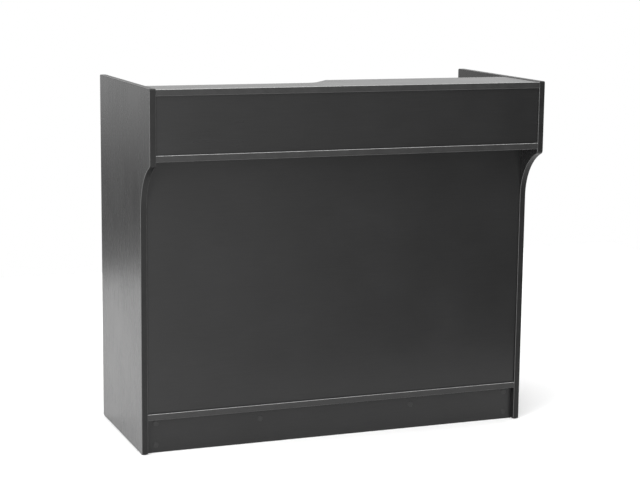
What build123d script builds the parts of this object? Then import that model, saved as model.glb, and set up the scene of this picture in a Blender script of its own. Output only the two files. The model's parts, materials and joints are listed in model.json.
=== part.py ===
from build123d import *
from math import acos, cos, degrees, radians, sin, tan
import os

os.makedirs("parts", exist_ok=True)

# A knock-down, ledge-top checkout counter of laminated board, in millimetres.
# X runs along the counter, to the right as a customer sees it. Y runs from the customer side
# to the cashier side, which is open. Z is up, and the origin is on the floor under the middle.

# ---- Overall size ----
WIDTH = 1219.2  # 48 in over both side panels
DEPTH = 558.8  # 22 in at the top
HEIGHT = 1066.8  # 42 in to the top of the side panels
PROUD = 2.0  # the side panels stand this far above the ledge
OVERHANG = 101.6  # 4 in, the lower front stands back by this
BOARD = 18.0
BAND = 2.0  # thickness of the edge banding
ARRIS = 1.2  # radius along the band's outer corners
REVEAL = 6.0  # the front boards stand back from the panel edges by this

INNER = WIDTH / 2 - BOARD  # half the width between the side panels
FRONT = -DEPTH / 2
REAR = DEPTH / 2
LOWER_FRONT = FRONT + OVERHANG

# ---- Heights, from the floor up ----
GLIDE_HEIGHT = 3.0
KICK_TOP = 101.6
DECK_TOP = KICK_TOP + BOARD
WORKTOP_TOP = 882.0
WORKTOP_LOW = WORKTOP_TOP - BOARD
LEDGE_LOW = HEIGHT - PROUD - BOARD

# ---- Side panel outline ----
NECK_RADIUS = 152.4  # 6 in, the hollow curve under the overhang
NECK_Z = 708.0  # height where that curve leaves the lower edge
NOSE_RADIUS = 12.0
TOP_CORNER_RADIUS = 5.0

# ---- Ledge outline ----
LEDGE_NARROW = 130.0
LEDGE_WIDE = 220.0
SWEEP_X = -108.0  # where the rear edge starts to sweep out
SWEEP_RADIUS = 60.0
SWEEP_ANGLE = 52.0

# ---- Boards that stand across the counter ----
FASCIA_Y = FRONT + REVEAL + BOARD / 2  # middle of each board's thickness
PANEL_Y = LOWER_FRONT + REVEAL + BOARD / 2
KICK_SETBACK = BOARD
FRONT_KICK_Y = LOWER_FRONT + KICK_SETBACK + BOARD / 2
REAR_KICK_Y = REAR - KICK_SETBACK - BOARD / 2
PANEL_BACK = PANEL_Y + BOARD / 2

# ---- Shelves and their system holes ----
PIN_PITCH = 32.0
PIN_ROWS = 12
PIN_LOW_Z = DECK_TOP + 4 * PIN_PITCH
PIN_FRONT_Y = PANEL_BACK + 40.0
PIN_REAR_Y = REAR - 62.0
PIN_HOLE_RADIUS = 2.5
PIN_HOLE_DEPTH = 10.0
PARTITION_PIN_DEPTH = 8.0
SHELF_ROW = 5
SHELF_GAP = 1.0
SHELF_FRONT = PANEL_BACK + 3.0
SHELF_REAR = REAR - 22.0
PEG_RADIUS = 4.0
PEG_REACH = 8.0
PEG_FLAT = 2.5  # the shelf rests this far above a pin's axis
SHELF_PIN_Z = PIN_LOW_Z + SHELF_ROW * PIN_PITCH
SHELF_LOW = SHELF_PIN_Z + PEG_FLAT

# ---- Knock-down fittings ----
SLACK = 0.05  # radial room between a fitting and its hole
CAM_RADIUS = 7.5
CAM_DEPTH = 12.5
CAM_SETBACK = 28.0
CAM_SINK = 0.3  # the cam lies this far under the board's face
BOLT_BORE_RADIUS = 4.0
BOLT_THREAD_RADIUS = 2.5
BOLT_THREAD_LENGTH = 10.5
DOWEL_RADIUS = 4.0
DOWEL_SHORT = 10.0  # length in the bolted board
DOWEL_LONG = 20.0  # length in the board that carries the cam
DOWEL_CHAMFER = 1.0
CAP_RADIUS = 8.5
CAP_THICKNESS = 1.0

# ---- Drawer, in the right-hand bay ----
BAY_LEFT = BOARD / 2
BAY_RIGHT = INNER
BAY_MIDDLE = (BAY_LEFT + BAY_RIGHT) / 2
SLIDE_GAP = 12.7  # room for a slide on each side
DRAWER_GAP = 3.0
DRAWER_FRONT_HEIGHT = 120.0
DRAWER_FRONT_TOP = WORKTOP_LOW - DRAWER_GAP
DRAWER_FRONT_LOW = DRAWER_FRONT_TOP - DRAWER_FRONT_HEIGHT
DRAWER_FACE = REAR - 28.0  # the front stands back so that its pull stays inside
DRAWER_JOINT = DRAWER_FACE - BOARD  # where the box meets the drawer front
BOX_BOARD = 12.0
BOX_LENGTH = 350.0
BOX_HEIGHT = 75.0
BOX_LEFT = BAY_LEFT + SLIDE_GAP
BOX_RIGHT = BAY_RIGHT - SLIDE_GAP
BOX_TAIL = DRAWER_JOINT - BOX_LENGTH
GROOVE_DEPTH = 5.0
GROOVE_RISE = 6.0
HARDBOARD = 3.0
HARDBOARD_SLACK = 0.2

# ---- Roller slides, measured from the wall they hang on ----
STEEL = 1.2
ROLLER_RADIUS = 10.0
ROLLER_NEAR = 3.2
ROLLER_FAR = 9.2
ROLLER_SLACK = 0.3  # room between a roller and its track
AXLE_RADIUS = 2.5
AXLE_Z = 758.0  # height of the rail's roller
BOX_LOW = AXLE_Z - 8.0
BOX_TOP = BOX_LOW + BOX_HEIGHT
RUNNER_AXLE_Z = AXLE_Z - 1.0
TRACK_Z = AXLE_Z + ROLLER_RADIUS + ROLLER_SLACK
RAIL_FLOOR = RUNNER_AXLE_Z - ROLLER_RADIUS - ROLLER_SLACK
RAIL_ROOF = TRACK_Z + STEEL + 1.0
RAIL_HEAD = DRAWER_JOINT - 2.5
RAIL_TAIL = RAIL_HEAD - BOX_LENGTH
AXLE_INSET = 12.0  # from the end of a rail or runner to its roller
RAIL_SCREW_Z = AXLE_Z + 7.5
RAIL_SCREW_YS = (RAIL_TAIL + 40, RAIL_TAIL + 170, RAIL_TAIL + 295)
RUNNER_SCREW_INSET = SLIDE_GAP + 4.5
RUNNER_SCREW_YS = (BOX_TAIL + 60, BOX_TAIL + 300)

# ---- Lock and pull ----
LOCK_Z = 838.0
BARREL_RADIUS = 9.25
BARREL_LENGTH = 27.4
LOCK_HOLE_RADIUS = 9.5
FLANGE_RADIUS = 11.0
FLANGE_THICKNESS = 2.5
PLUG_RADIUS = 6.0
PLUG_HEAD_RADIUS = 7.4
PLUG_HEAD = 1.5
LOCK_TAIL = DRAWER_FACE - BARREL_LENGTH  # inner end of the barrel
CAM_TAIL_GAP = 0.5
LOCK_CAM_THICKNESS = 2.3
LOCK_CAM_WIDTH = 12.0
LOCK_CAM_REACH = 22.5
LOCK_SQUARE = 6.0
STRIKE_THICKNESS = 2.0
STRIKE_WIDTH = 40.0
STRIKE_DROP = 15.0
STRIKE_LEG = 24.0
STRIKE_Y = LOCK_TAIL + 1.0  # inner face of the leg that catches the lock's cam
PULL_PITCH = 96.0
PULL_Z = 790.0
PULL_REACH = 21.5
PULL_RADIUS = 4.5
PULL_BEND = 14.0
PULL_FOOT_RADIUS = 7.0
PULL_FOOT = 2.0
PULL_THREAD_DEPTH = 9.0


# ---- Helpers ----
def save(piece, name):
    """Label a finished piece and write it to its own STEP file."""
    piece.part.label = name
    export_step(piece.part, f"parts/{name}.step")


def drill(places, radius, depth):
    """Drill the open part at each place, along the place's -Z."""
    with Locations(*places):
        Hole(radius=radius, depth=depth)


def turned(*steps):
    """A turned piece about Z. Each step is a radius and the heights where it starts and ends."""
    with BuildPart() as piece:
        for radius, start, end in steps:
            with BuildSketch(Plane.XY.offset(start)):
                Circle(radius)
            extrude(amount=end - start)
    return piece.part


def screw(shank_radius, length, head_radius, head_height):
    """A pan-head screw along -Z, its head standing on Z = 0, with a cross recess."""
    with BuildPart() as piece:
        add(turned((shank_radius, -length, 0), (head_radius, 0, head_height)))
        top_rim = piece.edges().filter_by(GeomType.CIRCLE).group_by(Axis.Z)[-1]
        fillet(top_rim, head_height / 3)
        with BuildSketch(Plane.XY.offset(head_height)):
            Rectangle(head_radius * 1.1, head_radius / 4)
            Rectangle(head_radius / 4, head_radius * 1.1)
        extrude(amount=-head_height / 2, mode=Mode.SUBTRACT)
    return piece.part


def countersunk_screw(shank_radius, length, head_radius):
    """A flat-head screw along -Z, its head flush with Z = 0."""
    with BuildPart() as piece:
        add(turned((shank_radius, -length, 0)))
        with Locations((0, 0, shank_radius - head_radius)):
            Cone(shank_radius, head_radius, head_radius - shank_radius, align=RISING)
        with BuildSketch(Plane.XY):
            Rectangle(head_radius * 1.1, head_radius / 4)
            Rectangle(head_radius / 4, head_radius * 1.1)
        extrude(amount=-head_radius / 3, mode=Mode.SUBTRACT)
    return piece.part


RISING = (Align.CENTER, Align.CENTER, Align.MIN)
SINKING = (Align.CENTER, Align.CENTER, Align.MAX)


def slab(x_range, y_range, z_range):
    """A rectangular board between the given limits."""
    (x_low, x_high), (y_low, y_high), (z_low, z_high) = x_range, y_range, z_range
    with BuildPart() as board:
        with BuildSketch(Plane.XY.offset(z_low)):
            with Locations(((x_low + x_high) / 2, (y_low + y_high) / 2)):
                Rectangle(x_high - x_low, y_high - y_low)
        extrude(amount=z_high - z_low)
    return board.part


def edge_strip(x_low, x_high, face_y, z_low, side):
    """A band along a flat board's edge. Its outer face is at face_y and looks along side * Y."""
    with BuildPart() as strip:
        with BuildSketch(Plane.YZ.offset(x_low)) as section:
            with Locations((face_y - side * BAND / 2, z_low + BOARD / 2)):
                Rectangle(BAND, BOARD)
            outer_corners = section.vertices().group_by(Axis.X)[0 if side < 0 else -1]
            fillet(outer_corners, ARRIS)
        extrude(amount=x_high - x_low)
    return strip.part


# ---- Where the boards meet ----
# Each joint is a plane on the seam, in the middle of the board that carries the cam. Its Z
# points into the board that takes the bolt, and its X out of the face with the cam's mouth.
def end_joints(points, mouth):
    """Joints at both ends of a board that spans the side panels; points are (y, z)."""
    return [
        Plane(origin=(side * INNER, y, z), x_dir=mouth, z_dir=(side, 0, 0))
        for side in (-1, 1)
        for y, z in points
    ]


def upright_joints(points, mouth, rise):
    """Joints at the top (rise 1) or foot (rise -1) of a standing board; points are (x, y, z)."""
    return [Plane(origin=point, x_dir=mouth, z_dir=(0, 0, rise)) for point in points]


DOWN = (0, 0, -1)
TO_CUSTOMER = (0, -1, 0)
TO_CASHIER = (0, 1, 0)
TO_LEFT = (-1, 0, 0)

CAM_YS = (-90.0, 190.0)
DOWEL_YS = (-122.0, 50.0, 222.0)
LEDGE_CAM_Y = -205.0
DOWEL_STEP = 32.0
FASCIA_Z = (WORKTOP_TOP + LEDGE_LOW) / 2
FASCIA_DOWEL_STEP = 50.0
PANEL_CAM_ZS = (230.0, 750.0)
PANEL_DOWEL_ZS = (262.0, 490.0, 718.0)
KICK_CAM_ZS = (23.0, 87.0)
KICK_CAM_XS = (-244.0, 244.0)
KICK_DOWEL_Z = 55.0
TOP_DOWEL_XS = (-400.0, 400.0)
KICK_DOWEL_XS = (-300.0, 300.0)
PARTITION_DOWEL_ZS = (300.0, 600.0)

DECK_Z = KICK_TOP + BOARD / 2
WORKTOP_Z = WORKTOP_LOW + BOARD / 2
LEDGE_Z = LEDGE_LOW + BOARD / 2

deck_cams = end_joints([(y, DECK_Z) for y in CAM_YS], DOWN)
deck_dowels = end_joints([(y, DECK_Z) for y in DOWEL_YS], DOWN)
worktop_cams = end_joints([(y, WORKTOP_Z) for y in CAM_YS], DOWN)
worktop_dowels = end_joints([(y, WORKTOP_Z) for y in DOWEL_YS], DOWN)
ledge_cams = end_joints([(LEDGE_CAM_Y, LEDGE_Z)], DOWN)
ledge_dowels = end_joints([(LEDGE_CAM_Y + step, LEDGE_Z) for step in (-DOWEL_STEP, DOWEL_STEP)], DOWN)
fascia_cams = end_joints([(FASCIA_Y, FASCIA_Z)], TO_CASHIER)
fascia_dowels = end_joints(
    [(FASCIA_Y, FASCIA_Z + step) for step in (-FASCIA_DOWEL_STEP, FASCIA_DOWEL_STEP)], TO_CASHIER
)
panel_cams = end_joints([(PANEL_Y, z) for z in PANEL_CAM_ZS], TO_CASHIER)
panel_dowels = end_joints([(PANEL_Y, z) for z in PANEL_DOWEL_ZS], TO_CASHIER)
front_kick_cams = end_joints([(FRONT_KICK_Y, z) for z in KICK_CAM_ZS], TO_CUSTOMER)
front_kick_dowels = end_joints([(FRONT_KICK_Y, KICK_DOWEL_Z)], TO_CUSTOMER)
rear_kick_cams = end_joints([(REAR_KICK_Y, z) for z in KICK_CAM_ZS], TO_CASHIER)
rear_kick_dowels = end_joints([(REAR_KICK_Y, KICK_DOWEL_Z)], TO_CASHIER)
front_kick_top_cams = upright_joints([(x, FRONT_KICK_Y, KICK_TOP) for x in KICK_CAM_XS], TO_CUSTOMER, 1)
rear_kick_top_cams = upright_joints([(x, REAR_KICK_Y, KICK_TOP) for x in KICK_CAM_XS], TO_CASHIER, 1)
kick_cams = front_kick_cams + rear_kick_cams
kick_top_cams = front_kick_top_cams + rear_kick_top_cams

partition_foot_cams = upright_joints([(0, y, DECK_TOP) for y in CAM_YS], TO_LEFT, -1)
partition_foot_dowels = upright_joints([(0, DOWEL_YS[1], DECK_TOP)], TO_LEFT, -1)
partition_top_cams = upright_joints([(0, y, WORKTOP_LOW) for y in CAM_YS], TO_LEFT, 1)
partition_top_dowels = upright_joints([(0, DOWEL_YS[1], WORKTOP_LOW)], TO_LEFT, 1)
partition_edge_dowels = [
    Plane(origin=(0, PANEL_BACK, z), x_dir=TO_LEFT, z_dir=TO_CUSTOMER) for z in PARTITION_DOWEL_ZS
]
fascia_top_dowels = upright_joints([(x, FASCIA_Y, LEDGE_LOW) for x in TOP_DOWEL_XS], TO_CASHIER, 1)
fascia_foot_dowels = upright_joints([(x, FASCIA_Y, WORKTOP_TOP) for x in TOP_DOWEL_XS], TO_CASHIER, -1)
panel_top_dowels = upright_joints([(x, PANEL_Y, WORKTOP_LOW) for x in TOP_DOWEL_XS], TO_CASHIER, 1)
panel_foot_dowels = upright_joints([(x, PANEL_Y, DECK_TOP) for x in TOP_DOWEL_XS], TO_CASHIER, -1)
front_kick_top_dowels = upright_joints([(x, FRONT_KICK_Y, KICK_TOP) for x in KICK_DOWEL_XS], TO_CASHIER, 1)
rear_kick_top_dowels = upright_joints([(x, REAR_KICK_Y, KICK_TOP) for x in KICK_DOWEL_XS], TO_CASHIER, 1)
kick_top_dowels = front_kick_top_dowels + rear_kick_top_dowels

side_cams = deck_cams + worktop_cams + ledge_cams + fascia_cams + panel_cams + kick_cams
side_dowels = deck_dowels + worktop_dowels + ledge_dowels + fascia_dowels + panel_dowels
side_dowels += front_kick_dowels + rear_kick_dowels
all_cams = side_cams + partition_foot_cams + partition_top_cams + kick_top_cams
all_dowels = side_dowels + partition_foot_dowels + partition_top_dowels + partition_edge_dowels
all_dowels += fascia_top_dowels + fascia_foot_dowels + panel_top_dowels + panel_foot_dowels
all_dowels += kick_top_dowels


def cam_mouth(joint, sink=0.0):
    """The middle of a cam's mouth, looking out of the board, sunk under its face by sink."""
    centre = joint.from_local_coords(Vector(BOARD / 2 - sink, 0, -CAM_SETBACK))
    return Plane(origin=centre, x_dir=joint.z_dir, z_dir=joint.x_dir)


def bore_cam_board(cams, dowels):
    """Bore the open board for its cams, for the bolts that reach them, and for its dowels."""
    if cams:
        drill([cam_mouth(joint) for joint in cams], CAM_RADIUS, CAM_DEPTH)
        drill(cams, BOLT_BORE_RADIUS, CAM_SETBACK)
    drill(dowels, DOWEL_RADIUS + SLACK, DOWEL_LONG + SLACK)


def bore_bolt_board(cams, dowels):
    """Bore the open board for the threads of its bolts and for its dowels."""
    if cams:
        drill([-joint for joint in cams], BOLT_THREAD_RADIUS + SLACK, BOLT_THREAD_LENGTH + SLACK)
    drill([-joint for joint in dowels], DOWEL_RADIUS + SLACK, DOWEL_SHORT + SLACK)


# ---- Side panels: gooseneck slabs with a continuous band round their front, top and rear ----
def gooseneck(inset):
    """A side panel's slab at X 0 to BOARD, its front, top and rear set back by inset."""
    ahead = NECK_RADIUS - OVERHANG  # the neck's centre lies this far in front of the overhang
    turn = degrees(acos((ahead + inset) / (NECK_RADIUS + inset)))
    with BuildPart() as board:
        with BuildSketch(Plane.YZ) as outline:
            with BuildLine():
                neck = CenterArc((FRONT - ahead, NECK_Z), NECK_RADIUS + inset, 0, turn)
                Polyline(
                    neck @ 1,
                    (FRONT + inset, HEIGHT - inset),
                    (REAR - inset, HEIGHT - inset),
                    (REAR - inset, GLIDE_HEIGHT),
                    (LOWER_FRONT + inset, GLIDE_HEIGHT),
                    neck @ 0,
                )
            make_face()
            nose = outline.vertices().sort_by_distance(neck @ 1)[0]
            fillet(nose, NOSE_RADIUS - inset)
            top_corners = outline.vertices().group_by(Axis.Y)[-1]
            fillet(top_corners, TOP_CORNER_RADIUS - inset)
        extrude(amount=BOARD)
    return board.part


with BuildPart() as gooseneck_band:
    add(gooseneck(0))
    face_edges = gooseneck_band.faces().filter_by(Axis.X).edges()
    fillet(face_edges.filter_by(lambda edge: edge.center().Z > GLIDE_HEIGHT + BAND), ARRIS)
    add(gooseneck(BAND), mode=Mode.SUBTRACT)

PIN_GRID_Y = (PIN_FRONT_Y + PIN_REAR_Y) / 2
PIN_GRID_Z = PIN_LOW_Z + (PIN_ROWS - 1) * PIN_PITCH / 2
GLIDE_YS = (LOWER_FRONT + 12.0, REAR - 12.0)
NAIL_RADIUS = 1.1
NAIL_LENGTH = 16.0
RAIL_SCREW_RADIUS = 1.75
RAIL_SCREW_LENGTH = 13.0


def drill_pin_rows(x, outward, depth):
    """Drill both rows of system holes into the face at x, which looks along outward * X."""
    middle = Plane(origin=(x, PIN_GRID_Y, PIN_GRID_Z), x_dir=(0, 1, 0), z_dir=(outward, 0, 0))
    with Locations(middle):
        with GridLocations(PIN_REAR_Y - PIN_FRONT_Y, PIN_PITCH, 2, PIN_ROWS):
            Hole(radius=PIN_HOLE_RADIUS, depth=depth)


def rail_screw_places(wall, inward, rise):
    """Where a rail's screws pass the height rise above their wall."""
    return [
        Plane(origin=(wall + inward * rise, y, RAIL_SCREW_Z), z_dir=(inward, 0, 0))
        for y in RAIL_SCREW_YS
    ]


for side, hand in ((-1, "left"), (1, "right")):
    low_x = min(side * INNER, side * WIDTH / 2)
    own_cams = [joint for joint in side_cams if joint.origin.X * side > 0]
    own_dowels = [joint for joint in side_dowels if joint.origin.X * side > 0]
    with BuildPart() as side_panel:
        with Locations((low_x, 0, 0)):
            add(gooseneck(BAND))
        bore_bolt_board(own_cams, own_dowels)
        drill_pin_rows(side * INNER, -side, PIN_HOLE_DEPTH)
        nail_places = [
            Plane(origin=(side * (INNER + BOARD / 2), y, GLIDE_HEIGHT), z_dir=DOWN) for y in GLIDE_YS
        ]
        drill(nail_places, NAIL_RADIUS + SLACK, NAIL_LENGTH)
        if side > 0:
            drill(rail_screw_places(BAY_RIGHT, -1, 0), RAIL_SCREW_RADIUS + SLACK, RAIL_SCREW_LENGTH)
    save(side_panel, f"side_panel_{hand}")

    with BuildPart() as side_edge_band:
        with Locations((low_x, 0, 0)):
            add(gooseneck_band.part)
    save(side_edge_band, f"side_edge_band_{hand}")


# ---- Ledge: narrow at the left, swept out to a wide shelf at the right ----
def ledge_board(inset):
    """The ledge's slab, its front and rear edges set back by inset."""
    narrow_y = FRONT + LEDGE_NARROW
    wide_y = FRONT + LEDGE_WIDE - inset
    radius = SWEEP_RADIUS + inset
    sweep_end_x = SWEEP_X + radius * sin(radians(SWEEP_ANGLE))
    sweep_end_y = narrow_y + SWEEP_RADIUS - radius * cos(radians(SWEEP_ANGLE))
    corner_x = sweep_end_x + (wide_y - sweep_end_y) / tan(radians(SWEEP_ANGLE))
    with BuildPart() as board:
        with BuildSketch(Plane.XY.offset(LEDGE_LOW)):
            with BuildLine():
                sweep_centre = (SWEEP_X, narrow_y + SWEEP_RADIUS)
                sweep = CenterArc(sweep_centre, radius, -90, SWEEP_ANGLE)
                Polyline(
                    sweep @ 1,
                    (corner_x, wide_y),
                    (INNER, wide_y),
                    (INNER, FRONT + inset),
                    (-INNER, FRONT + inset),
                    (-INNER, narrow_y - inset),
                    sweep @ 0,
                )
            make_face()
        extrude(amount=BOARD)
    return board.part


with BuildPart() as ledge_top:
    add(ledge_board(BAND))
    bore_cam_board(ledge_cams, ledge_dowels)
    bore_bolt_board([], fascia_top_dowels)
save(ledge_top, "ledge_top")

with BuildPart() as ledge_edge_bands:
    add(ledge_board(0))
    long_edges = ledge_edge_bands.faces().filter_by(Axis.Z).edges()
    fillet(long_edges.filter_by(lambda edge: abs(edge.center().X) < INNER - BAND), ARRIS)
    add(ledge_board(BAND), mode=Mode.SUBTRACT)
save(ledge_edge_bands, "ledge_edge_bands")


# ---- Boards across the front: upper fascia, lower panel and the two kicks ----
def standing_board(middle_y, z_low, z_high):
    """A board on edge between the side panels."""
    return slab((-INNER, INNER), (middle_y - BOARD / 2, middle_y + BOARD / 2), (z_low, z_high))


with BuildPart() as upper_fascia:
    add(standing_board(FASCIA_Y, WORKTOP_TOP, LEDGE_LOW))
    bore_cam_board(fascia_cams, fascia_dowels + fascia_top_dowels + fascia_foot_dowels)
save(upper_fascia, "upper_fascia")

with BuildPart() as lower_front_panel:
    add(standing_board(PANEL_Y, DECK_TOP, WORKTOP_LOW))
    bore_cam_board(panel_cams, panel_dowels + panel_top_dowels + panel_foot_dowels)
    bore_bolt_board([], partition_edge_dowels)
save(lower_front_panel, "lower_front_panel")

with BuildPart() as front_kick:
    add(standing_board(FRONT_KICK_Y, 0, KICK_TOP))
    bore_cam_board(front_kick_cams + front_kick_top_cams, front_kick_dowels + front_kick_top_dowels)
save(front_kick, "front_kick")

with BuildPart() as rear_kick:
    add(standing_board(REAR_KICK_Y, 0, KICK_TOP))
    bore_cam_board(rear_kick_cams + rear_kick_top_cams, rear_kick_dowels + rear_kick_top_dowels)
save(rear_kick, "rear_kick")

# ---- Worktop and bottom deck, banded front and rear ----
STRIKE_SCREW_RADIUS = 1.75
STRIKE_SCREW_LENGTH = 14.0
STRIKE_SCREW_STEP = 12.0
STRIKE_SCREW_Y = STRIKE_Y + STRIKE_THICKNESS - 16.0
strike_screw_places = [
    Plane(origin=(BAY_MIDDLE + step, STRIKE_SCREW_Y, WORKTOP_LOW), z_dir=DOWN)
    for step in (-STRIKE_SCREW_STEP, STRIKE_SCREW_STEP)
]

with BuildPart() as worktop:
    add(slab((-INNER, INNER), (FRONT + BAND, REAR - BAND), (WORKTOP_LOW, WORKTOP_TOP)))
    bore_cam_board(worktop_cams, worktop_dowels)
    bore_bolt_board(partition_top_cams, partition_top_dowels + fascia_foot_dowels + panel_top_dowels)
    drill(strike_screw_places, STRIKE_SCREW_RADIUS + SLACK, STRIKE_SCREW_LENGTH)
save(worktop, "worktop")

with BuildPart() as worktop_edge_bands:
    add(edge_strip(-INNER, INNER, FRONT, WORKTOP_LOW, -1))
    add(edge_strip(-INNER, INNER, REAR, WORKTOP_LOW, 1))
save(worktop_edge_bands, "worktop_edge_bands")

with BuildPart() as bottom_deck:
    add(slab((-INNER, INNER), (LOWER_FRONT + BAND, REAR - BAND), (KICK_TOP, DECK_TOP)))
    bore_cam_board(deck_cams, deck_dowels)
    bore_bolt_board(
        partition_foot_cams + kick_top_cams,
        partition_foot_dowels + panel_foot_dowels + kick_top_dowels,
    )
save(bottom_deck, "bottom_deck")

with BuildPart() as deck_edge_bands:
    add(edge_strip(-INNER, INNER, LOWER_FRONT, KICK_TOP, -1))
    add(edge_strip(-INNER, INNER, REAR, KICK_TOP, 1))
save(deck_edge_bands, "deck_edge_bands")

# ---- Centre partition ----
with BuildPart() as centre_partition:
    add(slab((-BOARD / 2, BOARD / 2), (PANEL_BACK, REAR - BAND), (DECK_TOP, WORKTOP_LOW)))
    bore_cam_board(
        partition_foot_cams + partition_top_cams,
        partition_foot_dowels + partition_top_dowels + partition_edge_dowels,
    )
    for outward in (-1, 1):
        drill_pin_rows(outward * BOARD / 2, outward, PARTITION_PIN_DEPTH)
    drill(rail_screw_places(BAY_LEFT, 1, 0), RAIL_SCREW_RADIUS + SLACK, RAIL_SCREW_LENGTH)
save(centre_partition, "centre_partition")

with BuildPart() as partition_edge_band:
    with BuildSketch(Plane.XY.offset(DECK_TOP)) as section:
        with Locations((0, REAR - BAND / 2)):
            Rectangle(BOARD, BAND)
        fillet(section.vertices().group_by(Axis.Y)[-1], ARRIS)
    extrude(amount=WORKTOP_LOW - DECK_TOP)
save(partition_edge_band, "partition_edge_band")

# ---- Adjustable shelves on four pins each ----
SHELF_ENDS = {
    "left": (-INNER + SHELF_GAP, -BOARD / 2 - SHELF_GAP),
    "right": (BOARD / 2 + SHELF_GAP, INNER - SHELF_GAP),
}

for hand, (x_low, x_high) in SHELF_ENDS.items():
    with BuildPart() as shelf:
        add(slab((x_low, x_high), (SHELF_FRONT, SHELF_REAR - BAND), (SHELF_LOW, SHELF_LOW + BOARD)))
    save(shelf, f"shelf_{hand}")

with BuildPart() as shelf_edge_bands:
    for x_low, x_high in SHELF_ENDS.values():
        add(edge_strip(x_low, x_high, SHELF_REAR, SHELF_LOW, 1))
save(shelf_edge_bands, "shelf_edge_bands")


def shelf_pin(hole_depth):
    """A pin along Z: a shank down its hole and a peg with a flat, which faces local +Y."""
    with BuildPart() as pin:
        add(turned((PIN_HOLE_RADIUS - SLACK, SLACK - hole_depth, 0), (PEG_RADIUS, 0, PEG_REACH)))
        with Locations((0, PEG_FLAT, 0)):
            Box(
                2 * PEG_RADIUS,
                PEG_RADIUS,
                2 * PEG_REACH,
                align=(Align.CENTER, Align.MIN, Align.CENTER),
                mode=Mode.SUBTRACT,
            )
    return pin.part


with BuildPart() as shelf_pins:
    for x, outward, depth in (
        (-INNER, 1, PIN_HOLE_DEPTH),
        (-BOARD / 2, -1, PARTITION_PIN_DEPTH),
        (BOARD / 2, 1, PARTITION_PIN_DEPTH),
        (INNER, -1, PIN_HOLE_DEPTH),
    ):
        # With X along outward * Y, the plane's own Y points up.
        for y in (PIN_FRONT_Y, PIN_REAR_Y):
            with Locations(Plane(origin=(x, y, SHELF_PIN_Z), x_dir=(0, outward, 0), z_dir=(outward, 0, 0))):
                add(shelf_pin(depth))
save(shelf_pins, "shelf_pins")

# ---- Knock-down fittings ----
BOLT_HEAD_RADIUS = 3.0
BOLT_NECK_RADIUS = 1.6
BOLT_COLLAR_RADIUS = 3.6
BOLT_COLLAR = 1.5
BOLT_SHANK_END = 23.0  # depths from the seam into the board that carries the cam
BOLT_NECK_END = 25.5
BOLT_HEAD_END = 30.5
CAM_POCKET_RADIUS = 3.8
CAM_POCKET_DEPTH = 11.0
CAM_SLOT = (7.0, 1.4, 3.0)  # length, width and depth of each arm of the cross

cam_slot_long, cam_slot_wide, cam_slot_deep = CAM_SLOT

with BuildPart() as cam_locks:
    with Locations(*[cam_mouth(joint, CAM_SINK) for joint in all_cams]):
        Cylinder(CAM_RADIUS - SLACK, CAM_DEPTH - CAM_SINK - SLACK, align=SINKING)
        Box(cam_slot_long, cam_slot_wide, cam_slot_deep, align=SINKING, mode=Mode.SUBTRACT)
        Box(cam_slot_wide, cam_slot_long, cam_slot_deep, align=SINKING, mode=Mode.SUBTRACT)
    drill([joint.offset(CAM_RADIUS - CAM_SETBACK) for joint in all_cams], CAM_POCKET_RADIUS, CAM_POCKET_DEPTH)
save(cam_locks, "cam_locks")

with BuildPart() as cam_bolts:
    with Locations(*all_cams):
        add(
            turned(
                (BOLT_THREAD_RADIUS, 0, BOLT_THREAD_LENGTH),
                (BOLT_COLLAR_RADIUS, -BOLT_COLLAR, 0),
                (BOLT_THREAD_RADIUS, -BOLT_SHANK_END, -BOLT_COLLAR),
                (BOLT_NECK_RADIUS, -BOLT_NECK_END, -BOLT_SHANK_END),
                (BOLT_HEAD_RADIUS, -BOLT_HEAD_END, -BOLT_NECK_END),
            )
        )
save(cam_bolts, "cam_bolts")

with BuildPart() as dowel:
    add(turned((DOWEL_RADIUS, -DOWEL_LONG, DOWEL_SHORT)))
    chamfer(dowel.edges().filter_by(GeomType.CIRCLE), DOWEL_CHAMFER)

with BuildPart() as wood_dowels:
    with Locations(*all_dowels):
        add(dowel.part)
save(wood_dowels, "wood_dowels")

CAP_PLUG = (5.0, 0.9, 2.0)  # arms of the cross that presses into the cam
cap_plug_long, cap_plug_wide, cap_plug_deep = CAP_PLUG

with BuildPart() as cap:
    add(turned((CAP_RADIUS, 0, CAP_THICKNESS)))
    chamfer(cap.edges().filter_by(GeomType.CIRCLE).group_by(Axis.Z)[-1], CAP_THICKNESS / 2)
    Box(cap_plug_long, cap_plug_wide, cap_plug_deep, align=SINKING)
    Box(cap_plug_wide, cap_plug_long, cap_plug_deep, align=SINKING)

with BuildPart() as cam_cover_caps:
    with Locations(*[cam_mouth(joint) for joint in kick_cams + kick_top_cams]):
        add(cap.part)
save(cam_cover_caps, "cam_cover_caps")

# ---- Floor glides, nailed up into the side panels ----
GLIDE_RADIUS = 8.5
GLIDE_ROUND = 1.5
NAIL_HEAD_RADIUS = 3.0
NAIL_HEAD = 1.0
NAIL_RECESS = 1.5  # the nail's head is this deep in the glide

glide_places = [
    Plane(origin=(side * (INNER + BOARD / 2), y, 0), z_dir=DOWN) for side in (-1, 1) for y in GLIDE_YS
]

with BuildPart() as glide:
    add(turned((GLIDE_RADIUS, -GLIDE_HEIGHT, 0)))
    fillet(glide.edges().group_by(Axis.Z)[-1], GLIDE_ROUND)
    CounterBoreHole(NAIL_RADIUS + SLACK, NAIL_HEAD_RADIUS + SLACK, NAIL_RECESS)

with BuildPart() as floor_glides:
    with Locations(*glide_places):
        add(glide.part)
save(floor_glides, "floor_glides")

with BuildPart() as glide_nails:
    with Locations(*[place.offset(-NAIL_RECESS) for place in glide_places]):
        nail_end = NAIL_RECESS - GLIDE_HEIGHT - NAIL_LENGTH + SLACK
        add(turned((NAIL_RADIUS, nail_end, 0), (NAIL_HEAD_RADIUS, 0, NAIL_HEAD)))
save(glide_nails, "glide_nails")

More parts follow.
